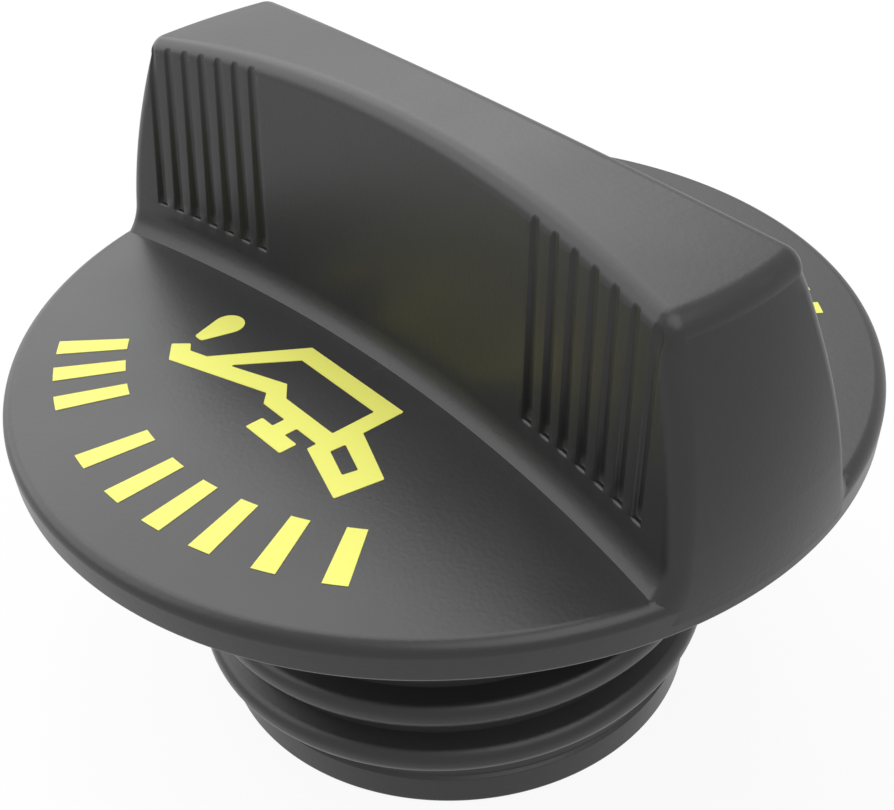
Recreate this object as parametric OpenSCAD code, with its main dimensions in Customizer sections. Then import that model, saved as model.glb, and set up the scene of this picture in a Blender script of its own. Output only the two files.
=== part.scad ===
// Screw-in oil filler cap for a car engine, moulded in one piece with a waisted
// grip across the flange and a coarse thread on the neck, and one rubber seal.
// It stands on the end of its neck: the origin is the middle of that end,
// +Z points up and the grip runs along X.

/* [Flange] */
// Diameter of the flange at its widest
flange_d = 66; // [58:0.5:76]
// Height of the rim from its lower edge to the flat panels
rim_h = 3.1; // [2.8:0.1:6]
// Round of the rim's top edge
rim_round = 1; // [0.6:0.1:1.6]
// How much the lower edge of the rim is drawn in
rim_taper = 0.15; // [0:0.05:0.6]
// Thickness of the flange plate
plate_t = 2.2; // [1.8:0.1:2.6]
// Thickness of the rim wall seen from below
rim_wall = 2.6; // [1.8:0.1:4]

/* [Neck] */
// Length of the neck below the lower edge of the rim
neck_l = 27; // [22:0.5:34]
// Diameter of the plain end that enters the filler first
pilot_d = 39.3; // [37:0.1:40.2]
// Length of the plain end
pilot_l = 2.6; // [1.6:0.1:4]
// Wall of the neck
neck_wall = 2.6; // [2:0.1:4]
// Chamfer on the end of the neck
neck_chamfer = 0.4; // [0.2:0.1:0.8]

/* [Thread] */
// Height of the thread over its roots
thread_h = 1.8; // [1.2:0.1:2.4]
// How far the roots of the thread lie inside the plain end's surface
root_in = 0.25; // [0.1:0.05:0.6]
// Rise of the thread in one turn
pitch = 4.8; // [4:0.1:5.6]
// Number of turns, without the run-outs
turns = 2; // [1.5:0.1:2.6]
// Width of the flat crest along the axis
crest_w = 1.7; // [1:0.1:2.2]
// Angle of the flanks from a plane across the axis
flank = 24; // [15:1:30]
// Height of the middle of the crest where the thread starts
thread_z = 4.7; // [4.6:0.1:6]
// Direction in which the thread starts, from +X
thread_start = 220; // [0:5:355]

/* [Grip] */
// Height of the middle of the grip above the flat panels
grip_h = 19.9; // [15:0.1:25]
// Rise of the arched top from its ends to its middle
grip_arch = 2.4; // [0.4:0.1:4]
// Width of the waist where it meets the panels
waist_w = 9.5; // [8:0.1:14]
// Plan radius of the hollow sides where they meet the panels
side_r = 135; // [110:5:220]
// Plan radius of the hollow sides below the top edges
side_top_r = 155; // [110:5:220]
// Draft of the sides in degrees
side_draft = 3.7; // [1:0.1:5]
// Radius of the bowed ends, seen from the side
end_bow = 41; // [36:1:70]
// Round of the four upright corners
corner_r = 1.2; // [1:0.1:2.2]
// Round of the long top edges
top_round = 1; // [0.6:0.1:1.6]
// Fillet where the sides meet the panels
foot_fillet = 2.2; // [0.5:0.1:2.6]

/* [Finger grooves] */
// Grooves at each end of each side
groove_n = 7; // [3:1:7]
// Spacing of the grooves
groove_pitch = 2; // [1.7:0.05:2.1]
// Width of a groove
groove_w = 1; // [0.6:0.05:1.1]
// Distance from the top of the grip's end to the middle of the last groove
groove_end = 1.6; // [1.5:0.1:3]
// Depth of a groove at its top
groove_depth = 0.2; // [0.15:0.05:0.5]
// Lean of the floors of the grooves in degrees
groove_draft = 2.6; // [1:0.1:3]
// Height of the lower end of the grooves above the panels
groove_foot = 3.2; // [2.7:0.1:6]

/* [Seal] */
// Thickness of the rubber ring
seal_cord = 3.4; // [2.4:0.1:3.6]
// Clearance between the ring and its seat
seal_gap = 0.05; // [0.02:0.01:0.15]
// Height of the collar that keeps the ring on the neck
collar_h = 1.4; // [1:0.1:2]
// How far the collar stands out from the root of the thread
collar_out = 1.1; // [0.6:0.1:1.6]

/* [Hollow underside] */
// Thickness of the grip's skin around the slot and the two end pockets
skin_t = 2.1; // [1.6:0.1:2.4]
// Distance from the edge of the flange to the inner wall of the end pockets
pocket_in = 8.2; // [7:0.1:9]

/* [Hidden] */
$fn = 72;
body_colour = "#3d3d3f";
seal_colour = "#161617";

flange_r = flange_d / 2;
pilot_r = pilot_d / 2;
root_r = pilot_r - root_in;
crest_r = root_r + thread_h;
bore_r = pilot_r - neck_wall;
panel_z = neck_l + rim_h;
under_z = panel_z - plate_t;

// Heights of the grip: shoulder is where the top rounding starts at the ends
top_z = panel_z + grip_h - grip_arch;
shoulder_z = top_z - top_round;
flow_z = panel_z - rim_round;
ledge_z = panel_z + groove_foot;
ledge_slope = 0.25;
sunk = 0.2;
tip_inset = 0.04;
grip_tip = flange_r - tip_inset;
end_round = corner_r - 0.1;
groove_taper = 0.12;

// Angle up the top rounding at which the floor of a groove comes out through it
groove_out = acos(1 - groove_depth / top_round);

// Counts of points: corners, grip ends, plain middle of a side, foot fillet, rim
corner_n = 5;
tip_n = 3;
middle_n = 4;
fillet_n = 4;
rise_n = 6;
rim_n = 12;

// Half width of the waist, radius and centre of the hollow side's arc at a height
function waist_y(z) = waist_w / 2 - (z - panel_z) * tan(side_draft);
function hollow_r(z) =
    side_r + (side_top_r - side_r) * (z - panel_z) / (shoulder_z - panel_z);
function side_cy(z) = waist_y(z) + hollow_r(z);

// Distance from the axis to the end of the grip at a height
function end_r(z) = grip_tip - end_bow + sqrt(end_bow * end_bow - pow(max(0, z - flow_z), 2));

// Centre of the corner arc, which touches the side's arc and the end's arc
function corner_c(z) =
    let (e = end_r(z) - corner_r,
         cy = side_cy(z),
         y = (cy * cy + e * e - pow(hollow_r(z) + corner_r, 2)) / (2 * cy))
    [sqrt(e * e - y * y), y];

// Outline point and outward normal on a side or its corner, for a distance x
function side_point(x, z) =
    let (c = corner_c(z), r = hollow_r(z), reach = c[0] * r / (r + corner_r))
    x <= reach
        ? let (h = sqrt(r * r - x * x)) [x, side_cy(z) - h, -x / r, h / r]
        : let (a = acos((x - c[0]) / corner_r)) [x, c[1] + corner_r * sin(a), cos(a), sin(a)];

// Half depth of the grip at the floor of a groove
function floor_y(x, z) =
    side_cy(shoulder_z) - sqrt(side_top_r * side_top_r - x * x) - groove_depth
    + (shoulder_z - z) * tan(groove_draft);

// Distances from the middle at which the first groove and a groove's four edges lie
groove_x = end_r(shoulder_z) - groove_end - (groove_n - 1) * groove_pitch;
function groove_edges(i) =
    let (m = groove_x + i * groove_pitch, o = groove_w / 2, n = o - groove_taper)
    [[m + o, 0], [m + n, 1], [m - n, 1], [m - o, 0]];
last_x = groove_x + (groove_n - 1) * groove_pitch + groove_w / 2 + sunk;

// A point of the outline, moved to the groove's floor where it belongs to one
function grooved(x, inner, z, cut) =
    let (p = side_point(x, z))
    inner == 1 && cut ? [p[0], min(p[1], floor_y(x, z)), p[2], p[3]] : p;

// Quarter of the grip's outline, from its tip on +X round to the middle of a side
function quarter(z, cut) =
    let (c = corner_c(z),
         tip_a = atan2(c[1], c[0]),
         reach = c[0] * hollow_r(z) / (hollow_r(z) + corner_r),
         side_a = last_x > reach ? acos((last_x - c[0]) / corner_r) : atan2(side_cy(z) - c[1], -c[0]),
         e = end_r(z))
    concat(
        [for (i = [0:tip_n - 1]) let (a = tip_a * i / tip_n) [e * cos(a), e * sin(a), cos(a), sin(a)]],
        [for (i = [0:corner_n])
            let (a = tip_a + (side_a - tip_a) * i / corner_n)
            [c[0] + corner_r * cos(a), c[1] + corner_r * sin(a), cos(a), sin(a)]],
        [for (i = [groove_n - 1:-1:0]) for (g = groove_edges(i)) grooved(g[0], g[1], z, cut)],
        [for (i = [middle_n - 1:-1:0]) side_point((groove_x - groove_pitch) * i / (middle_n - 1), z)]);

// Closed outline from a quarter, mirrored over both planes
function flip_x(p) = [-p[0], p[1], -p[2], p[3]];
function flip_y(p) = [p[0], -p[1], p[2], -p[3]];
function ring(q) =
    let (k = len(q),
         half = concat(q, [for (i = [k - 2:-1:0]) flip_x(q[i])]),
         m = len(half))
    concat(half, [for (i = [m - 2:-1:1]) flip_y(half[i])]);

// Rise of the arched top over the height of its ends
function arch(x) = grip_arch * (1 - pow(x / end_r(top_z), 2));

// How far the rounded rim has fallen below the panels at a distance from the axis
function rim_drop(r) =
    rim_round - sqrt(rim_round * rim_round - pow(max(0, r - flange_r + rim_round), 2));

// Rings of the grip: foot with its fillet, which stays on the flange and follows the
// falling rim by the given share, then sides, then the rounded top edge
function foot_ring(z, flare, share) =
    [for (p = ring(quarter(z, false)))
        let (reach = sqrt(max(0, grip_tip * grip_tip - p[0] * p[0])),
             y = sign(p[1]) * min(abs(p[1]) + flare * p[3] * p[3], reach))
        [p[0], y, z - share * rim_drop(norm([p[0], y]))]];
function side_ring(z, cut, t) =
    [for (p = ring(quarter(z, cut))) [p[0], p[1], z + t * arch(p[0])]];
function top_ring(a) =
    let (plain = ring(quarter(shoulder_z, false)), cut = ring(quarter(shoulder_z, true)))
    [for (i = [0:len(plain) - 1])
        let (p = plain[i],
             x = p[0] - end_round * p[2] * (1 - cos(a)),
             y = min(abs(p[1]) - top_round * abs(p[3]) * (1 - cos(a)), abs(cut[i][1])))
        [x, sign(p[1]) * y, shoulder_z + top_round * sin(a) + arch(x)]];

function grip_rings() = concat(
    [foot_ring(under_z + sunk, foot_fillet, 0),
     foot_ring(panel_z - sunk / 2, foot_fillet, 1)],
    [for (i = [fillet_n - 1:-1:0])
        let (a = 90 * i / fillet_n)
        foot_ring(panel_z + foot_fillet * (1 - sin(a)), foot_fillet * (1 - cos(a)), sin(a))],
    [side_ring(ledge_z, false, 0)],
    [for (i = [0:rise_n])
        let (t = i / rise_n, z = ledge_z + ledge_slope + t * (shoulder_z - ledge_z - ledge_slope))
        side_ring(z, true, t)],
    [for (a = [groove_out / 2, groove_out, (90 + 2 * groove_out) / 3, (180 + groove_out) / 3, 90])
        top_ring(a)]);

// Faces between rings, and caps joined across from one side to the other
function loft_faces(rings, n) = concat(
    [for (k = [0:rings - 2]) for (i = [0:n - 1])
        let (j = (i + 1) % n) each [[k * n + i, (k + 1) * n + i, (k + 1) * n + j],
                                    [k * n + i, (k + 1) * n + j, k * n + j]]],
    cap_faces(0, n, false),
    cap_faces((rings - 1) * n, n, true));
function cap_faces(o, n, top) =
    [for (i = [0:n / 2 - 1])
        let (a = o + i, b = o + i + 1, c = o + (n - i - 1) % n, d = o + (n - i) % n,
             f = i == 0 ? [a, b, c] : i == n / 2 - 1 ? [a, b, d] : [a, b, c, d])
        top ? [for (v = [len(f) - 1:-1:0]) f[v]] : f];

module grip() {
    rings = grip_rings();
    n = len(rings[0]);
    polyhedron(points = [for (r = rings) each r], faces = loft_faces(len(rings), n), convexity = 10);
}

// Section of the flange and the neck, turned about the axis
function arc(cx, cy, r, a0, a1, n) =
    [for (i = [0:n]) let (a = a0 + (a1 - a0) * i / n) [cx + r * cos(a), cy + r * sin(a)]];
collar_top = under_z - seal_cord - 2 * seal_gap;
edge = 0.3;
module turned_section() {
    polygon(concat(
        [[bore_r + neck_chamfer, 0], [pilot_r - neck_chamfer, 0], [pilot_r, neck_chamfer],
         [pilot_r, pilot_l], [root_r, pilot_l + pilot_r - root_r],
         [root_r, collar_top - collar_h - collar_out], [root_r + collar_out, collar_top - collar_h],
         [root_r + collar_out, collar_top - edge], [root_r + collar_out - edge, collar_top],
         [root_r, collar_top], [root_r, under_z],
         [flange_r - rim_wall, under_z], [flange_r - rim_wall, neck_l + edge],
         [flange_r - rim_wall + edge, neck_l], [flange_r - rim_taper - edge, neck_l],
         [flange_r - rim_taper, neck_l + edge]],
        arc(flange_r - rim_round, panel_z - rim_round, rim_round, 0, 90, rim_n),
        [[0, panel_z], [0, under_z], [bore_r, under_z], [bore_r, neck_chamfer]]));
}

// Thread section at an angle along the helix: lift is how far the crest has come out
root_half = crest_w / 2 + (crest_r - root_r) * tan(flank);
crest_chamfer = 0.25;
crest_sunk = 0.5;
thread_inset = 0.9;
thread_step = 10;
run_out = 40;
function thread_lift(a) =
    min(1, (a + run_out) / run_out, (360 * turns + run_out - a) / run_out);
function thread_ring(a) =
    let (lift = thread_lift(a),
         r1 = root_r - thread_inset,
         r2 = root_r - crest_sunk + (crest_r - root_r + crest_sunk) * lift,
         r3 = r2 - crest_chamfer,
         h1 = root_half + thread_inset * tan(flank),
         h3 = crest_w / 2 + crest_chamfer * tan(flank),
         h2 = crest_w / 2 - crest_chamfer,
         z = thread_z + pitch * a / 360,
         d = a + thread_start)
    [for (s = [[r1, -h1], [r3, -h3], [r2, -h2], [r2, h2], [r3, h3], [r1, h1]])
        [s[0] * cos(d), s[0] * sin(d), z + s[1]]];
module thread() {
    sweep = [for (a = [-run_out + 2:thread_step:360 * turns + run_out - 2]) thread_ring(a)];
    m = len(sweep);
    faces = concat(
        [for (k = [0:m - 2]) for (i = [0:5])
            let (j = (i + 1) % 6) each [[k * 6 + i, (k + 1) * 6 + j, (k + 1) * 6 + i],
                                        [k * 6 + i, k * 6 + j, (k + 1) * 6 + j]]],
        [[for (i = [5:-1:0]) i], [for (i = [0:5]) (m - 1) * 6 + i]]);
    polyhedron(points = [for (s = sweep) each s], faces = faces, convexity = 6);
}

// Slot that cores out the grip above the neck's bore
slot_inset = 1.2;
module slot() {
    half = waist_y(shoulder_z) - skin_t;
    translate([0, 0, under_z - 1])
        linear_extrude(top_z - skin_t - under_z + 1)
            difference() {
                square([2 * (bore_r - slot_inset), 2 * bore_r], center = true);
                for (s = [-1, 1]) translate([0, s * (half + side_top_r)]) circle(side_top_r, $fn = 360);
            }
}

// Pocket that cores out one end of the grip from below, its outer wall bent half-way up
pocket_inset = 0.4;
module end_pocket() {
    z1 = (panel_z + top_z) / 2;
    z2 = top_z - 2 * skin_t;
    in = flange_r - pocket_in;
    out = end_r(flow_z) - rim_wall - pocket_inset;
    half = side_cy(z2) - sqrt(pow(hollow_r(z2), 2) - in * in) - skin_t;
    intersection() {
        rotate_extrude()
            polygon([[in, under_z - 1], [out, under_z - 1],
                     [out, panel_z], [end_r(z1) - skin_t, z1],
                     [end_r(z2) - skin_t, z2], [in, z2]]);
        translate([0, -half, 0]) cube([flange_r, 2 * half, top_z]);
    }
}

module cap_body() {
    color(body_colour)
        difference() {
            union() {
                rotate_extrude() turned_section();
                grip();
                thread();
            }
            slot();
            for (a = [0, 180]) rotate(a) end_pocket();
        }
}

module o_ring() {
    color(seal_colour)
        translate([0, 0, under_z - seal_gap - seal_cord / 2])
            rotate_extrude()
                translate([root_r + seal_gap + seal_cord / 2, 0])
                    circle(d = seal_cord, $fn = 48);
}

cap_body();
o_ring();
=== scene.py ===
"""Looks of a screw-in oil filler cap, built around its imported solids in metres.

The cap stands on the end of its neck, with the grip along X and the neck's axis on Z.
"""

import math

import bmesh
import bpy
from bpy.props import (
    FloatProperty,
    FloatVectorProperty,
    IntProperty,
    PointerProperty,
)
from bpy.types import Operator, Panel, PropertyGroup
from mathutils import Matrix, Quaternion, Vector
from mathutils.geometry import tessellate_polygon


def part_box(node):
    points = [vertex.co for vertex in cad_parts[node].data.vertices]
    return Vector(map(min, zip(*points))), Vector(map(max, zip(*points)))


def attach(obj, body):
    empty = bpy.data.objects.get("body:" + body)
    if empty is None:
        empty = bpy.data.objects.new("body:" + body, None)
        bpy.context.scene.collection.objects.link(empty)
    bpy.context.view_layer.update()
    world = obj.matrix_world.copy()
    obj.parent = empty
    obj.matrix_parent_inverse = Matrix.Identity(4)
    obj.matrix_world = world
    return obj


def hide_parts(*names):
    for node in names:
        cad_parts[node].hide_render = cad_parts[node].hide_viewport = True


bl_info = {
    "name": "Oil Filler Cap",
    "version": (1, 0, 0),
    "blender": (4, 5, 0),
    "location": "View3D > Sidebar > Oil Cap",
    "description": "Builds a moulded oil filler cap, its print, its seal and a studio",
    "category": "Object",
}

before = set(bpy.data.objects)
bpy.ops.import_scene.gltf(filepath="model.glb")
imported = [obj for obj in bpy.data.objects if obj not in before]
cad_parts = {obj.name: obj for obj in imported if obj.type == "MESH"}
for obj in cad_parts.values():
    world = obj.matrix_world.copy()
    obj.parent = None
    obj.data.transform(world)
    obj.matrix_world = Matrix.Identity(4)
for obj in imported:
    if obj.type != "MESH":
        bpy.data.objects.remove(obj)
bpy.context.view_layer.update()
CAP_LOW, CAP_HIGH = (Vector(corner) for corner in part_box("cap_body"))

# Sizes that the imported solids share, in metres
NECK_L = 0.027
RIM_H = 0.0031
PLATE_T = 0.0022
SKIN_T = 0.0021
PANEL_Z = NECK_L + RIM_H
UNDER_Z = PANEL_Z - PLATE_T
# Faces round a turned piece, and the radius under which a point lies on its axis
TURNED_STEPS = 256
AXIS_R = 1e-9
# Rings of the flat panels, as shares of the flange's radius
PANEL_RINGS = (0.95, 0.92, 0.87, 0.81, 0.74, 0.66, 0.57, 0.47, 0.36, 0.24, 0.12, 0.0)
# The print starts just inside the panels and stands out by the thickness of a film
PRINT_SUNK = 0.00001
PRINT_RISE = 0.00004


class CapSizes(PropertyGroup):
    """Sizes of the moulding."""

    flange_d: FloatProperty(
        name="Flange diameter", description="Diameter of the flange at its widest",
        default=CAP_HIGH.x - CAP_LOW.x, unit="LENGTH", precision=4,
    )
    rim_round: FloatProperty(
        name="Rim round", description="Round of the rim's top edge",
        default=0.001, unit="LENGTH", precision=4,
    )
    rim_wall: FloatProperty(
        name="Rim wall", description="Thickness of the rim wall seen from below",
        default=0.0026, unit="LENGTH", precision=4,
    )
    pilot_d: FloatProperty(
        name="Plain end diameter", description="Diameter of the end that enters the filler first",
        default=0.0393, unit="LENGTH", precision=4,
    )
    root_d: FloatProperty(
        name="Thread root diameter", description="Diameter at the roots of the thread",
        default=0.0388, unit="LENGTH", precision=4,
    )
    thread_d: FloatProperty(
        name="Thread crest diameter", description="Diameter over the crests of the thread",
        default=0.0424, unit="LENGTH", precision=4,
    )
    bore_d: FloatProperty(
        name="Bore diameter", description="Diameter of the hollow in the neck",
        default=0.0341, unit="LENGTH", precision=4,
    )
    pitch: FloatProperty(
        name="Thread pitch", description="Rise of the thread in one turn",
        default=0.0048, unit="LENGTH", precision=4,
    )
    turns: FloatProperty(
        name="Thread turns", description="Number of turns, without the run-outs", default=2.0,
    )
    waist_w: FloatProperty(
        name="Waist width", description="Width of the grip's waist where it meets the panels",
        default=0.0095, unit="LENGTH", precision=4,
    )
    side_r: FloatProperty(
        name="Side radius at the foot", description="Plan radius of the grip's sides at the panels",
        default=0.135, unit="LENGTH", precision=4,
    )
    side_top_r: FloatProperty(
        name="Side radius at the top", description="Plan radius of the grip's sides at the top",
        default=0.155, unit="LENGTH", precision=4,
    )
    side_draft: FloatProperty(
        name="Side draft", description="Lean of the grip's sides",
        default=math.radians(3.7), subtype="ANGLE",
    )
    end_bow: FloatProperty(
        name="End bow", description="Radius of the grip's bowed ends seen from the side",
        default=0.041, unit="LENGTH", precision=4,
    )
    grip_arch: FloatProperty(
        name="Grip arch", description="Rise of the arched top from its ends to its middle",
        default=0.0024, unit="LENGTH", precision=4,
    )
    groove_n: IntProperty(
        name="Grooves", description="Finger grooves at each end of each side", default=7, min=1,
    )
    groove_pitch: FloatProperty(
        name="Groove spacing", description="Distance from one finger groove to the next",
        default=0.002, unit="LENGTH", precision=4,
    )
    groove_w: FloatProperty(
        name="Groove width", description="Width of a finger groove",
        default=0.001, unit="LENGTH", precision=4,
    )
    groove_end: FloatProperty(
        name="Last groove", description="Distance from the top of the grip's end to the last groove",
        default=0.0016, unit="LENGTH", precision=4,
    )
    groove_depth: FloatProperty(
        name="Groove depth", description="Depth of a finger groove at its top",
        default=0.0002, unit="LENGTH", precision=5,
    )


class CapFinishes(PropertyGroup):
    """Colours of the plastic, the rubber and the print."""

    plastic: FloatVectorProperty(
        name="Plastic", description="Colour of the moulded plastic", subtype="COLOR",
        default=(0.022, 0.022, 0.023), min=0.0, max=1.0,
    )
    rubber: FloatVectorProperty(
        name="Rubber", description="Colour of the sealing ring", subtype="COLOR",
        default=(0.012, 0.012, 0.013), min=0.0, max=1.0,
    )
    ink: FloatVectorProperty(
        name="Print", description="Colour of the printed marks", subtype="COLOR",
        default=(0.82, 0.82, 0.16), min=0.0, max=1.0,
    )
    grain: FloatProperty(
        name="Grain depth", description="Depth of the moulded grain",
        default=0.000012, unit="LENGTH", precision=6,
    )


# Profiles


def rounded(corners, steps=6):
    """Points of a closed outline whose corners (x, y, radius) are rounded off."""
    points = []
    count = len(corners)
    for i, (x, y, radius) in enumerate(corners):
        here = Vector((x, y))
        if radius <= 0.0:
            points.append(here)
            continue
        before = (Vector(corners[i - 1][:2]) - here).normalized()
        after = (Vector(corners[(i + 1) % count][:2]) - here).normalized()
        half = before.angle(after) / 2
        reach = radius / math.tan(half)
        middle = here + (before + after).normalized() * (radius / math.sin(half))
        start = here + before * reach - middle
        sweep = start.angle_signed(here + after * reach - middle)
        for step in range(steps + 1):
            turn = Matrix.Rotation(-sweep * step / steps, 2)
            points.append(middle + turn @ start)
    return points


def new_object(name, mesh, material=None):
    """A scene object around a mesh, shaded smooth."""
    thing = bpy.data.objects.new(name, mesh)
    bpy.context.scene.collection.objects.link(thing)
    mesh.polygons.foreach_set("use_smooth", [True] * len(mesh.polygons))
    if material:
        mesh.materials.append(material)
    return thing


def mesh_from(name, points, faces):
    """A mesh from points and faces, its normals pointing outwards."""
    mesh = bpy.data.meshes.new(name)
    mesh.from_pydata([tuple(p) for p in points], [], faces)
    shape = bmesh.new()
    shape.from_mesh(mesh)
    bmesh.ops.remove_doubles(shape, verts=shape.verts, dist=1e-8)
    bmesh.ops.recalc_face_normals(shape, faces=shape.faces)
    shape.to_mesh(mesh)
    shape.free()
    return mesh


def turned(name, outline, steps=TURNED_STEPS):
    """A closed outline of (radius, height) turned about Z."""
    points = []
    faces = []
    count = len(outline)
    for step in range(steps):
        angle = math.tau * step / steps
        points += [(r * math.cos(angle), r * math.sin(angle), z) for r, z in outline]
    on_axis = [r < AXIS_R for r, z in outline]
    for step in range(steps):
        here, there = step * count, (step + 1) % steps * count
        for i in range(count):
            j = (i + 1) % count
            if on_axis[i] and on_axis[j]:
                continue
            corners = [here + i, here + j, there + j, there + i]
            if on_axis[i]:
                corners = [here + i, here + j, there + j]
            if on_axis[j]:
                corners = [here + i, here + j, there + i]
            faces.append(corners)
    return mesh_from(name, points, faces)


def skin(rings, count):
    """Quads between a number of rings that have the same count of points."""
    faces = []
    for k in range(rings - 1):
        for i in range(count):
            j = (i + 1) % count
            faces.append([k * count + i, k * count + j, (k + 1) * count + j, (k + 1) * count + i])
    return faces


def swept(name, rings):
    """A closed skin over rings of points, with one flat face at each end."""
    count = len(rings[0])
    last = (len(rings) - 1) * count
    faces = [list(range(count)), list(range(last, last + count))] + skin(len(rings), count)
    return mesh_from(name, [point for ring in rings for point in ring], faces)


def lofted(name, rings):
    """A closed skin over rings of points, capped across from one side to the other."""
    count = len(rings[0])
    middle = count // 2
    faces = skin(len(rings), count)
    for base in (0, (len(rings) - 1) * count):
        faces.append([base, base + 1, base + count - 1])
        for i in range(1, middle - 1):
            faces.append([base + i, base + i + 1, base + count - i - 1, base + count - i])
        faces.append([base + middle - 1, base + middle, base + middle + 1])
    return mesh_from(name, [point for ring in rings for point in ring], faces)


def neck_outline(size):
    """Section of the flange and the neck, from the axis round the outside and back."""
    flange, pilot = size.flange_d / 2, size.pilot_d / 2
    root, bore = size.root_d / 2, size.bore_d / 2
    pilot_l, rim_taper = 0.0026, 0.00015
    seat_h, collar_h, collar_out = 0.0035, 0.0014, 0.0011
    collar_top = UNDER_Z - seat_h
    collar_low = collar_top - collar_h
    collar = root + collar_out
    inner = flange - size.rim_wall
    # Roundings of the corners, from the crispest to the softest
    crisp, fine, edge, mouth, inside, hollow = 0.0001, 0.0002, 0.0003, 0.0004, 0.0005, 0.0006
    corners = [
        (0.0, UNDER_Z, 0.0),
        (bore, UNDER_Z, hollow),
        (bore, 0.0, mouth),
        (pilot, 0.0, mouth),
        (pilot, pilot_l, crisp),
        (root, pilot_l + pilot - root, crisp),
        (root, collar_low - collar_out, hollow),
        (collar, collar_low, fine),
        (collar, collar_top, edge),
        (root, collar_top, fine),
        (root, UNDER_Z, edge),
        (inner, UNDER_Z, inside),
        (inner, NECK_L, edge),
        (flange - rim_taper, NECK_L, mouth),
        (flange, PANEL_Z - size.rim_round, 0.0),
    ]
    outline = rounded(corners)
    centre_r, centre_z = flange - size.rim_round, PANEL_Z - size.rim_round
    steps = 16
    for step in range(1, steps + 1):
        angle = math.pi / 2 * step / steps
        outline.append(Vector((
            centre_r + size.rim_round * math.cos(angle),
            centre_z + size.rim_round * math.sin(angle),
        )))
    outline += [Vector((flange * share, PANEL_Z)) for share in PANEL_RINGS]
    return [(max(0.0, r), z) for r, z in outline]


# Grip


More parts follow.
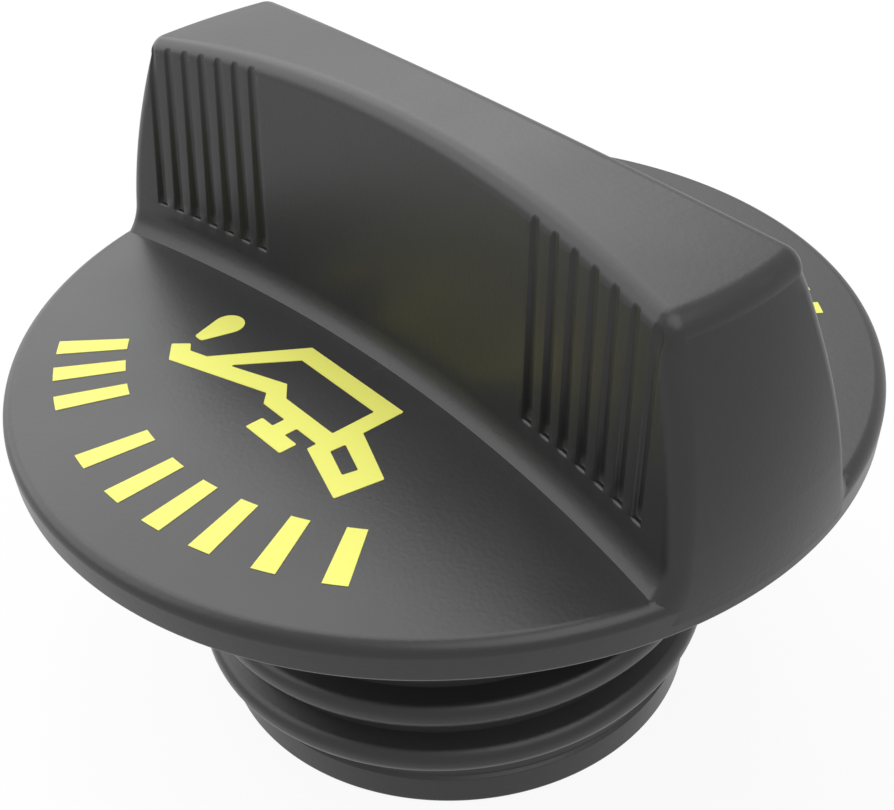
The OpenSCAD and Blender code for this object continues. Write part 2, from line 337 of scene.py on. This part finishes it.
class GripForm:
    """The grip's outlines in metres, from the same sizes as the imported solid.

    A point of an outline is (x, y, nx, ny, d): its place and outward normal in plan, and its y
    where a groove is cut.
    """

    # Rounding of the upright corners, and of the top's long and short edges
    corner_r = 0.0015
    top_round = 0.0014
    end_round = 0.0014
    # Cove at the foot, which meets the panels at a crease
    cove_r = 0.0028
    cove_sweep = math.radians(47.0)
    # Ledges at the feet of the grooves: height, rounded lip, rise to the full depth, and a first
    # small step that holds most of the depth
    ledge_z = PANEL_Z + 0.0032
    ledge_lip = 0.0002
    ledge_foot = 0.00006
    ledge_step = 0.000005
    ledge_cut = 0.9
    # Grooves: width of a wall, plain strip after the last one, and growth on the way down
    groove_wall = 0.0003
    groove_margin = 0.0003
    groove_gain = 1.2
    groove_flare = 0.2
    # How far the grip stays inside the flange's surface, and where its hidden foot starts and ends
    tip_inset = 0.000004
    foot_rise = 0.0002
    foot_drop = 0.0001
    # Points along the tip, a corner, the plain side and a groove's wall
    tip_n = 8
    corner_n = 14
    side_n = 18
    wall_n = 5

    def __init__(self, size):
        self.size = size
        self.flow_z = PANEL_Z - size.rim_round
        self.shoulder_z = CAP_HIGH.z - size.grip_arch - self.top_round
        half = size.groove_w / 2
        last = self.end_r(self.shoulder_z) - size.groove_end
        first = last - (size.groove_n - 1) * size.groove_pitch
        self.last_x = last + half + self.groove_margin
        self.stations = []
        walls = [i / self.wall_n for i in range(self.wall_n + 1)]
        for i in reversed(range(size.groove_n)):
            middle = first + i * size.groove_pitch
            outer = [(middle, half - self.groove_wall * w, w) for w in walls]
            self.stations += outer
            self.stations += [(middle, -offset, w) for middle, offset, w in reversed(outer)]
        plain = first - size.groove_pitch / 2
        shares = [i / self.side_n for i in reversed(range(self.side_n + 1))]
        self.stations += [(plain * share, 0.0, 0.0) for share in shares]

    def hollow_r(self, z):
        """Plan radius of the hollow side, which grows from the foot to the top."""
        share = (z - PANEL_Z) / (self.shoulder_z - PANEL_Z)
        return self.size.side_r + (self.size.side_top_r - self.size.side_r) * share

    def side_centre(self, z):
        """Distance from X of the centre of the hollow side's arc."""
        waist = self.size.waist_w / 2 - (z - PANEL_Z) * math.tan(self.size.side_draft)
        return waist + self.hollow_r(z)

    def end_r(self, z):
        """Distance from the axis to the grip's end."""
        rise = max(0.0, z - self.flow_z)
        bow = self.size.end_bow
        return self.size.flange_d / 2 - self.tip_inset - bow + math.sqrt(bow * bow - rise * rise)

    def corner(self, z):
        """Centre of the upright corner's arc, which touches the side and the end."""
        reach = self.end_r(z) - self.corner_r
        centre = self.side_centre(z)
        y = centre ** 2 + reach ** 2 - (self.hollow_r(z) + self.corner_r) ** 2
        y /= 2 * centre
        return math.sqrt(reach * reach - y * y), y

    def touch_x(self, z):
        """Where the side's arc runs into the corner's arc."""
        side_r = self.hollow_r(z)
        return self.corner(z)[0] * side_r / (side_r + self.corner_r)

    def side_point(self, x, z):
        """Outline point and normal on a side or its corner."""
        side_r = self.hollow_r(z)
        cx, cy = self.corner(z)
        if x <= self.touch_x(z):
            height = math.sqrt(side_r * side_r - x * x)
            return x, self.side_centre(z) - height, -x / side_r, height / side_r
        angle = math.acos((x - cx) / self.corner_r)
        return x, cy + self.corner_r * math.sin(angle), math.cos(angle), math.sin(angle)

    def descent(self, z):
        """Share of the way from the top of the grooves down to their ledges."""
        return min(1.0, max(0.0, (self.shoulder_z - z) / (self.shoulder_z - self.ledge_z)))

    def groove_cut(self, z):
        """Depth of the grooves, which deepen downwards."""
        return self.size.groove_depth * (1 + self.groove_gain * self.descent(z))

    def quarter(self, z, cut):
        """Points of the outline from the tip on +X to the middle of a side."""
        cx, cy = self.corner(z)
        tip = math.atan2(cy, cx)
        side = math.atan2(self.side_centre(z) - cy, -cx)
        if self.last_x > self.touch_x(z):
            side = math.acos((self.last_x - cx) / self.corner_r)
        end = self.end_r(z)
        points = []
        for i in range(self.tip_n):
            angle = tip * i / self.tip_n
            nx, ny = math.cos(angle), math.sin(angle)
            points.append((end * nx, end * ny, nx, ny, end * ny))
        for i in range(self.corner_n + 1):
            angle = tip + (side - tip) * i / self.corner_n
            nx, ny = math.cos(angle), math.sin(angle)
            y = cy + self.corner_r * ny
            points.append((cx + self.corner_r * nx, y, nx, ny, y))
        flare = 1 + self.groove_flare * self.descent(z)
        for middle, offset, share in self.stations:
            x, y, nx, ny = self.side_point(middle + offset * flare, z)
            soft = share * share * (3 - 2 * share)
            points.append((x, y, nx, ny, y - self.groove_cut(z) * soft * cut))
        return points

    def ring(self, z, cut):
        """Closed outline, mirrored over both planes."""
        quarter = self.quarter(z, cut)
        half = quarter + [(-x, y, -nx, ny, d) for x, y, nx, ny, d in reversed(quarter[:-1])]
        return half + [(x, -y, nx, -ny, -d) for x, y, nx, ny, d in reversed(half[1:-1])]

    def arch(self, x):
        """Rise of the arched top over the height of its ends."""
        return self.size.grip_arch * (1 - (x / self.end_r(self.shoulder_z + self.top_round)) ** 2)

    def rim_drop(self, r):
        """How far the rounded rim has fallen below the panels at a distance from the axis."""
        rim = self.size.rim_round
        past = min(rim, max(0.0, r - self.size.flange_d / 2 + rim))
        return rim - math.sqrt(rim * rim - past * past)

    def flared(self, point, flare):
        """A foot point moved out by the cove, but kept on the flange."""
        x, y, _, ny, _ = point
        tip = self.size.flange_d / 2 - self.tip_inset
        reach = math.sqrt(max(0.0, tip * tip - x * x))
        return x, math.copysign(min(abs(y) + flare * ny * ny, reach), y)

    def foot_ring(self, z, flare, share):
        """A ring of the cove, which follows the falling rim by the given share."""
        least_drop = 1e-6
        points = []
        for i, point in enumerate(self.ring(z, 0.0)):
            x, y = self.flared(point, flare)
            low = z - share * self.rim_drop(math.hypot(x, y))
            if low < z - least_drop:
                x, y = self.flared(self.ring(low, 0.0)[i], flare)
            points.append((x, y, low))
        return points

    def side_ring(self, z, cut, share):
        """A ring on the upright sides, which follows the arched top by the given share."""
        return [(x, d, z + share * self.arch(x)) for x, _, _, _, d in self.ring(z, cut)]

    def top_ring(self, angle):
        """A ring on the rounded top edge, notched by the grooves."""
        shrink = 1 - math.cos(angle)
        points = []
        for x, y, nx, ny, d in self.ring(self.shoulder_z, 1.0):
            side = min(abs(y) - self.top_round * abs(ny) * shrink, abs(d))
            near = x - self.end_round * nx * shrink
            z = self.shoulder_z + self.top_round * math.sin(angle) + self.arch(near)
            points.append((near, math.copysign(side, y), z))
        return points

    def rings(self):
        """All rings from the foot, sunk in the flange, up to the top."""
        cove_n, lip_n, rise_n, notch_n, round_n = 9, 6, 14, 5, 12
        cove_out, cove_up = 1 - math.cos(self.cove_sweep), math.sin(self.cove_sweep)
        rings = [self.foot_ring(UNDER_Z + self.foot_rise, self.cove_r * cove_out, 0.0)]
        rings.append(self.foot_ring(PANEL_Z - self.foot_drop, self.cove_r * cove_out, 1.0))
        for i in reversed(range(cove_n + 1)):
            angle = self.cove_sweep * i / cove_n
            z = PANEL_Z - self.tip_inset + self.cove_r * (cove_up - math.sin(angle))
            share = math.sin(angle) / cove_up
            rings.append(self.foot_ring(z, self.cove_r * (1 - math.cos(angle)), share))
        for i in range(lip_n + 1):
            angle = math.pi / 2 * i / lip_n
            z = self.ledge_z - self.ledge_lip * (1 - math.sin(angle))
            cut = self.ledge_lip * (1 - math.cos(angle)) / self.groove_cut(z)
            rings.append(self.side_ring(z, cut, 0.0))
        rings.append(self.side_ring(self.ledge_z + self.ledge_step, self.ledge_cut, 0.0))
        base = self.ledge_z + self.ledge_foot
        for i in range(rise_n + 1):
            share = i / rise_n
            rings.append(self.side_ring(base + share * (self.shoulder_z - base), 1.0, share))
        notch = math.acos(1 - self.size.groove_depth / self.top_round)
        angles = [notch * i / notch_n for i in range(1, notch_n + 1)]
        angles += [notch + (math.pi / 2 - notch) * i / round_n for i in range(1, round_n + 1)]
        rings += [self.top_ring(angle) for angle in angles]
        return rings


# Thread


def thread_mesh(size):
    """A right-hand ridge swept along its helix, fading out at both ends."""
    root, crest = size.root_d / 2, size.thread_d / 2
    flank = math.tan(math.radians(24.0))
    start_z, start_angle = 0.0047, 220.0
    # Degrees of a run-out, of the bit left off its thin end, and from one section to the next
    run_out, cut_off, step = 40.0, 2.0, 3.0
    # Half of the crest's width, and how far a run-out and the ridge's base lie inside the root
    half, sunk, inset = 0.00085, 0.0005, 0.0009
    crest_round, round_share, lean, round_n = 0.00115, 1.3, 0.3, 9
    total = 360.0 * size.turns
    count = math.ceil((total + 2 * (run_out - cut_off)) / step)
    rings = []
    for i in range(count):
        angle = cut_off - run_out + i * step
        lift = min(1.0, (angle + run_out) / run_out, (total + run_out - angle) / run_out)
        top = root - sunk + (crest - root + sunk) * lift
        base = root - inset
        wide = half + (crest - base) * flank
        narrow = half + (crest - top) * flank * lean
        soft = min(crest_round, round_share * (top - base))
        corners = [(base, -wide, 0.0), (top, -narrow, soft), (top, narrow, soft), (base, wide, 0.0)]
        turn = math.radians(angle + start_angle)
        z = start_z + size.pitch * angle / 360.0
        section = rounded(corners, round_n)
        rings.append([(r * math.cos(turn), r * math.sin(turn), z + h) for r, h in section])
    return swept("thread", rings)


# Cores

CORE_LOW = UNDER_Z - 0.001


def slot_mesh(size, form):
    """Core of the grip above the neck's bore."""
    slot_inset, steps = 0.0012, 24
    half_l = size.bore_d / 2 - slot_inset
    waist = size.waist_w / 2 - (form.shoulder_z - PANEL_Z) * math.tan(size.side_draft) - SKIN_T
    side = []
    for i in range(steps + 1):
        x = half_l * (2 * i / steps - 1)
        side.append((x, waist + size.side_top_r - math.sqrt(size.side_top_r ** 2 - x * x)))
    outline = side + [(x, -y) for x, y in reversed(side)]
    top = CAP_HIGH.z - size.grip_arch - SKIN_T
    return swept("slot", [[(x, y, z) for x, y in outline] for z in (CORE_LOW, top)])


def pocket_mesh(size, form, sign):
    """Core of one end of the grip, open below."""
    pocket_x, pocket_inset = 0.0248, 0.0004
    top_z = CAP_HIGH.z - size.grip_arch
    z1, z2 = (PANEL_Z + top_z) / 2, top_z - 2 * SKIN_T
    half = form.side_centre(z2) - math.sqrt(form.hollow_r(z2) ** 2 - pocket_x ** 2) - SKIN_T
    out = form.end_r(form.flow_z) - size.rim_wall - pocket_inset
    section = [
        (pocket_x, CORE_LOW), (out, CORE_LOW), (out, PANEL_Z),
        (form.end_r(z1) - SKIN_T, z1), (form.end_r(z2) - SKIN_T, z2), (pocket_x, z2),
    ]
    return swept("pocket", [[(sign * x, y, z) for x, z in section] for y in (-half, half)])


def joined(base, others, operation):
    """Base with other objects added to it or cut from it, as one clean mesh."""
    for other in others:
        cut = base.modifiers.new(other.name, "BOOLEAN")
        cut.operation = operation
        cut.solver = "EXACT"
        cut.object = other
    settle(base)
    for other in others:
        bpy.data.objects.remove(other)


def level_panels(mesh):
    """Gives every corner on the flat panels a normal straight up.

    The faces that meet the panels there get it too, apart from steep ones.
    """
    level, steepest, tolerance = 0.9999, 0.75, 1e-6
    flat = set()
    for face in mesh.polygons:
        if face.normal.z > level and abs(face.center.z - PANEL_Z) < tolerance:
            flat.update(face.vertices)
    normals = [corner.vector.copy() for corner in mesh.corner_normals]
    for face in mesh.polygons:
        if face.normal.z > steepest:
            for loop in face.loop_indices:
                if mesh.loops[loop].vertex_index in flat:
                    normals[loop] = Vector((0.0, 0.0, 1.0))
    mesh.normals_split_custom_set(normals)


def settle(thing):
    """Gives an object the mesh that its modifiers make."""
    graph = bpy.context.evaluated_depsgraph_get()
    made = bpy.data.meshes.new_from_object(thing.evaluated_get(graph))
    thing.modifiers.clear()
    thing.data = made


# Materials


def node(tree, kind, place, **values):
    """Adds a node and sets its attributes and unlinked inputs."""
    made = tree.nodes.new(kind)
    made.location = place
    for key, value in values.items():
        if hasattr(made, key):
            setattr(made, key, value)
        else:
            made.inputs[key.replace("_", " ")].default_value = value
    return made


def grain_group():
    """Moulded surface: a fine height field, a slow mottle and a mask of the edges."""
    if "Moulded surface" in bpy.data.node_groups:
        return bpy.data.node_groups["Moulded surface"]
    tree = bpy.data.node_groups.new("Moulded surface", "ShaderNodeTree")
    socket = tree.interface.new_socket
    for name, value in (("Grain Scale", 2600.0), ("Mottle Scale", 90.0)):
        made = socket(name=name, in_out="INPUT", socket_type="NodeSocketFloat")
        made.default_value = value
    for name in ("Height", "Mottle", "Edge"):
        socket(name=name, in_out="OUTPUT", socket_type="NodeSocketFloat")
    given = node(tree, "NodeGroupInput", (-800, 0))
    out = node(tree, "NodeGroupOutput", (500, 0))
    place = node(tree, "ShaderNodeTexCoord", (-800, 260))
    grain = node(tree, "ShaderNodeTexNoise", (-400, 260), Detail=2.0, Roughness=0.6)
    mottle = node(tree, "ShaderNodeTexNoise", (-400, -40), Detail=3.0, Roughness=0.55)
    shape = node(tree, "ShaderNodeNewGeometry", (-400, -340))
    edge = node(tree, "ShaderNodeMapRange", (0, -340), From_Min=0.52, From_Max=0.62)
    link = tree.links.new
    link(place.outputs["Object"], grain.inputs["Vector"])
    link(place.outputs["Object"], mottle.inputs["Vector"])
    link(given.outputs["Grain Scale"], grain.inputs["Scale"])
    link(given.outputs["Mottle Scale"], mottle.inputs["Scale"])
    link(shape.outputs["Pointiness"], edge.inputs["Value"])
    link(grain.outputs["Fac"], out.inputs["Height"])
    link(mottle.outputs["Fac"], out.inputs["Mottle"])
    link(edge.outputs["Result"], out.inputs["Edge"])
    return tree


def seen_mask(tree, left, low):
    """Mask of the rays that see the surroundings: from the camera, mirrored or through glass."""
    path = node(tree, "ShaderNodeLightPath", (left, low))
    some = node(tree, "ShaderNodeMath", (left + 200, low), operation="ADD")
    every = node(tree, "ShaderNodeMath", (left + 400, low), operation="ADD", use_clamp=True)
    tree.links.new(path.outputs["Is Camera Ray"], some.inputs[0])
    tree.links.new(path.outputs["Is Glossy Ray"], some.inputs[1])
    tree.links.new(some.outputs[0], every.inputs[0])
    tree.links.new(path.outputs["Is Transmission Ray"], every.inputs[1])
    return every.outputs[0]


def finish_material(name, colour, roughness, spread, grain_depth, grain_scale, sheen_tone):
    """A moulded or printed finish: mottled colour and roughness, grain, and convex edges painted
    paler as a painted highlight.
    """
    material = bpy.data.materials.new(name)
    material.use_nodes = True
    tree = material.node_tree
    tree.nodes.clear()
    link = tree.links.new
    out = node(tree, "ShaderNodeOutputMaterial", (700, 0))
    shader = node(tree, "ShaderNodeBsdfPrincipled", (400, 0), IOR=1.43)
    surface = node(tree, "ShaderNodeGroup", (-500, 0), node_tree=grain_group())
    surface.inputs["Grain Scale"].default_value = grain_scale
    tone = node(tree, "ShaderNodeMix", (-200, 200), data_type="RGBA")
    # Convex edges, where the pointiness mask rises, are painted paler by the tone given for edges: a
    # painted highlight, a sheen along the edges.
    edge_sheen = node(tree, "ShaderNodeMix", (50, 200), data_type="RGBA")
    dark, light = 0.9, 1.1
    for socket, shade in (
        (tone.inputs["A"], dark), (tone.inputs["B"], light), (edge_sheen.inputs["B"], sheen_tone),
    ):
        socket.default_value = (*(min(1.0, shade * c) for c in colour), 1.0)
    rough = node(tree, "ShaderNodeMapRange", (50, -40), From_Min=0.3, From_Max=0.7,
                 To_Min=roughness - spread, To_Max=roughness + spread)
    bump = node(tree, "ShaderNodeBump", (150, -300), Strength=1.0, Distance=grain_depth)
    link(surface.outputs["Mottle"], tone.inputs["Factor"])
    link(tone.outputs["Result"], edge_sheen.inputs["A"])
    link(surface.outputs["Edge"], edge_sheen.inputs["Factor"])
    link(edge_sheen.outputs["Result"], shader.inputs["Base Color"])
    link(surface.outputs["Mottle"], rough.inputs["Value"])
    link(rough.outputs["Result"], shader.inputs["Roughness"])
    link(surface.outputs["Height"], bump.inputs["Height"])
    link(bump.outputs["Normal"], shader.inputs["Normal"])
    link(shader.outputs["BSDF"], out.inputs["Surface"])
    return material


def plastic_material(finish):
    """Satin black plastic with a fine moulded grain."""
    return finish_material(
        "cap_plastic", finish.plastic, roughness=0.35, spread=0.03,
        grain_depth=finish.grain, grain_scale=2600.0, sheen_tone=1.25,
    )


def rubber_material(finish):
    """Matte black rubber."""
    return finish_material(
        "seal_rubber", finish.rubber, roughness=0.6, spread=0.05,
        grain_depth=0.00001, grain_scale=1500.0, sheen_tone=1.6,
    )


def ink_material(finish):
    """Yellow ink, which takes on a little of the grain below it."""
    return finish_material(
        "print_ink", finish.ink, roughness=0.5, spread=0.05,
        grain_depth=0.000004, grain_scale=2600.0, sheen_tone=1.0,
    )


# Print


def slab(name, shapes, material):
    """Flat printed shapes on the flange, each an outline and its holes in plan."""
    low, high = PANEL_Z - PRINT_SUNK, PANEL_Z + PRINT_RISE
    points = []
    faces = []
    for loops in shapes:
        start = len(points)
        flat = [Vector((x, y, 0.0)) for loop in loops for x, y in loop]
        count = len(flat)
        points += [(p.x, p.y, low) for p in flat] + [(p.x, p.y, high) for p in flat]
        for corners in tessellate_polygon([[(x, y, 0.0) for x, y in loop] for loop in loops]):
            faces.append([start + i for i in corners])
            faces.append([start + count + i for i in corners])
        for loop in loops:
            for i in range(len(loop)):
                j = (i + 1) % len(loop)
                faces.append([start + i, start + j, start + j + count, start + i + count])
            start += len(loop)
    mesh = mesh_from(name, points, faces)
    piece = new_object(name, mesh, material)
    mesh.polygons.foreach_set("use_smooth", [False] * len(mesh.polygons))
    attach(piece, "root")
    return piece


def oil_can():
    """The common oil can sign in front of the grip: can, handle and drop, drawn in millimetres."""
    can = [
        (-13.4, -15.75), (-12.4, -14.65), (-11.6, -15.2), (-10.05, -14.7), (-5.5, -8.15),
        (5.65, -8.15), (5.65, -11.8), (10.7, -13.85), (10.0, -17.6), (4.4, -15.75),
        (4.4, -14.95), (2.05, -14.95), (2.05, -16.0), (3.5, -16.0), (3.5, -17.45),
        (-0.7, -17.45), (-0.7, -16.0), (0.55, -16.0), (0.55, -14.95), (-2.1, -14.95),
        (-3.05, -14.05), (-11.7, -17.05),
    ]
    inside = [
        (-4.65, -9.7), (4.2, -9.7), (4.2, -13.4), (-1.45, -13.4), (-2.9, -12.3), (-7.95, -14.15),
    ]
    handle = [(5.85, -13.5), (8.7, -14.55), (8.4, -15.7), (5.75, -14.75)]
    drop_x, drop_y, drop_r, drop_start, drop_sweep, drop_n = -12.65, -11.0, 1.25, -15.0, 210.0, 18
    tip_y, tip_half, tip_round = -13.85, 0.45, 0.3
    drop = []
    for step in range(drop_n + 1):
        angle = math.radians(drop_start + drop_sweep * step / drop_n)
        drop.append((drop_x + drop_r * math.cos(angle), drop_y + drop_r * math.sin(angle), 0.0))
    drop += [(drop_x - tip_half, tip_y, tip_round), (drop_x + tip_half, tip_y, tip_round)]
    corner_round, millimetre = 0.12, 0.001
    soft = [[(x, y, corner_round) for x, y in loop] for loop in (can, inside, handle)]
    loops = [rounded(loop, 3) for loop in (*soft, drop)]
    can, inside, handle, drop = [[(x * millimetre, y * millimetre) for x, y in p] for p in loops]
    return [[can, inside, handle], [drop]]


def sector(centre, radius, width, middle, sweep, steps=8):
    """Outline of a bar bent round a centre, its middle and sweep in degrees."""
    start, end = math.radians(middle - sweep / 2), math.radians(middle + sweep / 2)
    angles = [start + (end - start) * i / steps for i in range(steps + 1)]
    inner, outer = radius - width / 2, radius + width / 2
    x, y = centre
    points = [(x + outer * math.cos(a), y + outer * math.sin(a)) for a in angles]
    return points + [(x + inner * math.cos(a), y + inner * math.sin(a)) for a in reversed(angles)]


# Operators


class OILCAP_OT_moulding(Operator):
    """Builds the cap's one moulded piece"""

    bl_idname = "oilcap.moulding"
    bl_label = "Moulded cap"

    def execute(self, context):
        size = context.scene.cap_sizes
        form = GripForm(size)
        body = new_object("moulded_cap", turned("moulded_cap", neck_outline(size)))
        grip = new_object("grip", lofted("grip", form.rings()))
        thread = new_object("thread", thread_mesh(size))
        joined(body, [grip, thread], "UNION")
        cores = [new_object("slot", slot_mesh(size, form))]
        cores += [new_object(f"pocket{s}", pocket_mesh(size, form, s)) for s in (-1, 1)]
        joined(body, cores, "DIFFERENCE")
        sharp = math.radians(38.0)
        body.data.set_sharp_from_angle(angle=sharp)
        weight = body.modifiers.new("Weighted normals", "WEIGHTED_NORMAL")
        weight.keep_sharp = True
        settle(body)
        level_panels(body.data)
        body.data.materials.clear()
        body.data.materials.append(plastic_material(context.scene.cap_finishes))
        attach(body, "root")
        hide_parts("cap_body")
        return {"FINISHED"}


class OILCAP_OT_seal(Operator):
    """Gives the sealing ring its rubber"""

    bl_idname = "oilcap.seal"
    bl_label = "Sealing ring"

    def execute(self, context):
        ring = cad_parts["o_ring"]
        ring.data.materials.clear()
        ring.data.materials.append(rubber_material(context.scene.cap_finishes))
        return {"FINISHED"}


class OILCAP_OT_print(Operator):
    """Prints the bars and the oil can on the flange"""

    bl_idname = "oilcap.print"
    bl_label = "Printed marks"

    def execute(self, context):
        ink = ink_material(context.scene.cap_finishes)
        bar_l, front_sweep, rear_sweep = 0.0054, 3.4, 3.0
        front_centre, front_r = (-0.0011, 0.0008), 0.0267
        rear_centre, rear_r = (0.0, 0.0), 0.0266
        front = (-127.5, -120.5, -113.0, -98.0, -88.5, -80.0, -71.5, -62.0, -52.5)
        rear = (54.5, 61.0, 67.5)
        bars = [[sector(front_centre, front_r, bar_l, at, front_sweep)] for at in front]
        bars += [[sector(rear_centre, rear_r, bar_l, at, rear_sweep)] for at in rear]
        slab("print_bars", bars, ink)
        slab("print_oil_can", oil_can(), ink)
        return {"FINISHED"}


class OILCAP_OT_stage(Operator):
    """Builds the floor, the lights and the camera"""

    bl_idname = "oilcap.stage"
    bl_label = "Studio"
    # Light that the surroundings give, and share of plain white in the floor as it is seen
    sky_light = 0.1
    floor_white = 0.92
    floor_half = 3.0
    # Height on the cap's axis at which the camera looks
    look_z = 0.027

    def execute(self, context):
        scene = context.scene
        scene.view_settings.view_transform = "Standard"
        self.floor()
        self.world(scene)
        self.lights(scene)
        self.camera(scene)
        return {"FINISHED"}

    def floor(self):
        """A plain pale floor under the neck."""
        material = bpy.data.materials.new("studio_floor")
        material.use_nodes = True
        tree = material.node_tree
        tree.nodes.clear()
        link = tree.links.new
        out = node(tree, "ShaderNodeOutputMaterial", (600, 0))
        paint = node(tree, "ShaderNodeBsdfDiffuse", (-100, 0), Color=(0.9, 0.9, 0.9, 1.0))
        glow = node(tree, "ShaderNodeEmission", (-100, -200), Strength=1.0)
        share = node(tree, "ShaderNodeMath", (-100, 300), operation="MULTIPLY")
        share.inputs[1].default_value = self.floor_white
        blend = node(tree, "ShaderNodeMixShader", (300, 0))
        link(seen_mask(tree, -800, 300), share.inputs[0])
        link(share.outputs[0], blend.inputs[0])
        link(paint.outputs[0], blend.inputs[1])
        link(glow.outputs[0], blend.inputs[2])
        link(blend.outputs[0], out.inputs["Surface"])
        half = self.floor_half
        corners = [(-half, -half, 0), (half, -half, 0), (half, half, 0), (-half, half, 0)]
        mesh = mesh_from("floor", corners, [[0, 1, 2, 3]])
        new_object("floor", mesh, material)

    def world(self, scene):
        """Even surroundings, white to look at and dim as light."""
        world = bpy.data.worlds.new("studio")
        world.use_nodes = True
        scene.world = world
        tree = world.node_tree
        tree.nodes.clear()
        out = node(tree, "ShaderNodeOutputWorld", (400, 0))
        sky = node(tree, "ShaderNodeBackground", (200, 0))
        sky.inputs["Color"].default_value = (1.0, 1.0, 1.0, 1.0)
        level = node(tree, "ShaderNodeMath", (0, 0), operation="MULTIPLY_ADD")
        level.inputs[1].default_value = 1.0 - self.sky_light
        level.inputs[2].default_value = self.sky_light
        tree.links.new(seen_mask(tree, -700, 0), level.inputs[0])
        tree.links.new(level.outputs[0], sky.inputs["Strength"])
        tree.links.new(sky.outputs[0], out.inputs["Surface"])

    def lights(self, scene):
        """Soft boxes: a key high behind, a low one behind on the left, one on each side."""
        rows = (
            ("key", (-0.33, 0.15, 0.52), 0.70, 3.2),
            ("low", (-0.58, -0.07, 0.155), 0.50, 0.6),
            ("front", (-0.37, -0.33, 0.37), 0.60, 1.6),
            ("right", (0.36, -0.03, 0.51), 0.60, 1.9),
        )
        for name, place, width, power in rows:
            lamp = bpy.data.lights.new(name, "AREA")
            lamp.shape = "DISK"
            lamp.size = width
            lamp.energy = power
            thing = bpy.data.objects.new(name, lamp)
            thing.location = place
            aim = Vector((0.0, 0.0, PANEL_Z)) - thing.location
            thing.rotation_mode = "QUATERNION"
            thing.rotation_quaternion = aim.to_track_quat("-Z", "Y")
            scene.collection.objects.link(thing)

    def camera(self, scene):
        """The photograph's camera, rolled a little."""
        lens = bpy.data.cameras.new("camera")
        lens.sensor_width = 36.0
        lens.lens = 62.9
        lens.shift_x = 0.0047
        lens.shift_y = -0.0395
        lens.clip_start = 0.01
        azimuth, elevation, distance = math.radians(51.91), math.radians(35.02), 0.1209
        thing = bpy.data.objects.new("camera", lens)
        away = Vector((
            math.sin(azimuth) * math.cos(elevation),
            -math.cos(azimuth) * math.cos(elevation),
            math.sin(elevation),
        ))
        thing.location = Vector((0.0, 0.0, self.look_z)) + away * distance
        thing.rotation_mode = "QUATERNION"
        roll = Quaternion((0.0, 0.0, 1.0), math.radians(-2.89))
        thing.rotation_quaternion = (-away).to_track_quat("-Z", "Y") @ roll
        scene.collection.objects.link(thing)
        scene.camera = thing


class OILCAP_PT_panel(Panel):
    """Lists the cap's builders and sizes"""

    bl_idname = "OILCAP_PT_panel"
    bl_label = "Oil Cap"
    bl_space_type = "VIEW_3D"
    bl_region_type = "UI"
    bl_category = "Oil Cap"

    def draw(self, context):
        column = self.layout.column(align=True)
        for operator in BUILDERS:
            column.operator(operator.bl_idname)
        for group in (context.scene.cap_sizes, context.scene.cap_finishes):
            box = self.layout.box()
            for name in group.__annotations__:
                box.prop(group, name)


BUILDERS = (OILCAP_OT_moulding, OILCAP_OT_seal, OILCAP_OT_print, OILCAP_OT_stage)
CLASSES = (CapSizes, CapFinishes, *BUILDERS, OILCAP_PT_panel)


def register():
    """Adds the classes and the scene's settings."""
    for cls in CLASSES:
        bpy.utils.register_class(cls)
    bpy.types.Scene.cap_sizes = PointerProperty(type=CapSizes)
    bpy.types.Scene.cap_finishes = PointerProperty(type=CapFinishes)


def unregister():
    """Takes away what register added."""
    del bpy.types.Scene.cap_finishes
    del bpy.types.Scene.cap_sizes
    for cls in reversed(CLASSES):
        bpy.utils.unregister_class(cls)


def main():
    """Builds the cap and its studio."""
    register()
    bpy.ops.oilcap.moulding()
    bpy.ops.oilcap.seal()
    bpy.ops.oilcap.print()
    bpy.ops.oilcap.stage()


if __name__ == "__main__":
    main()
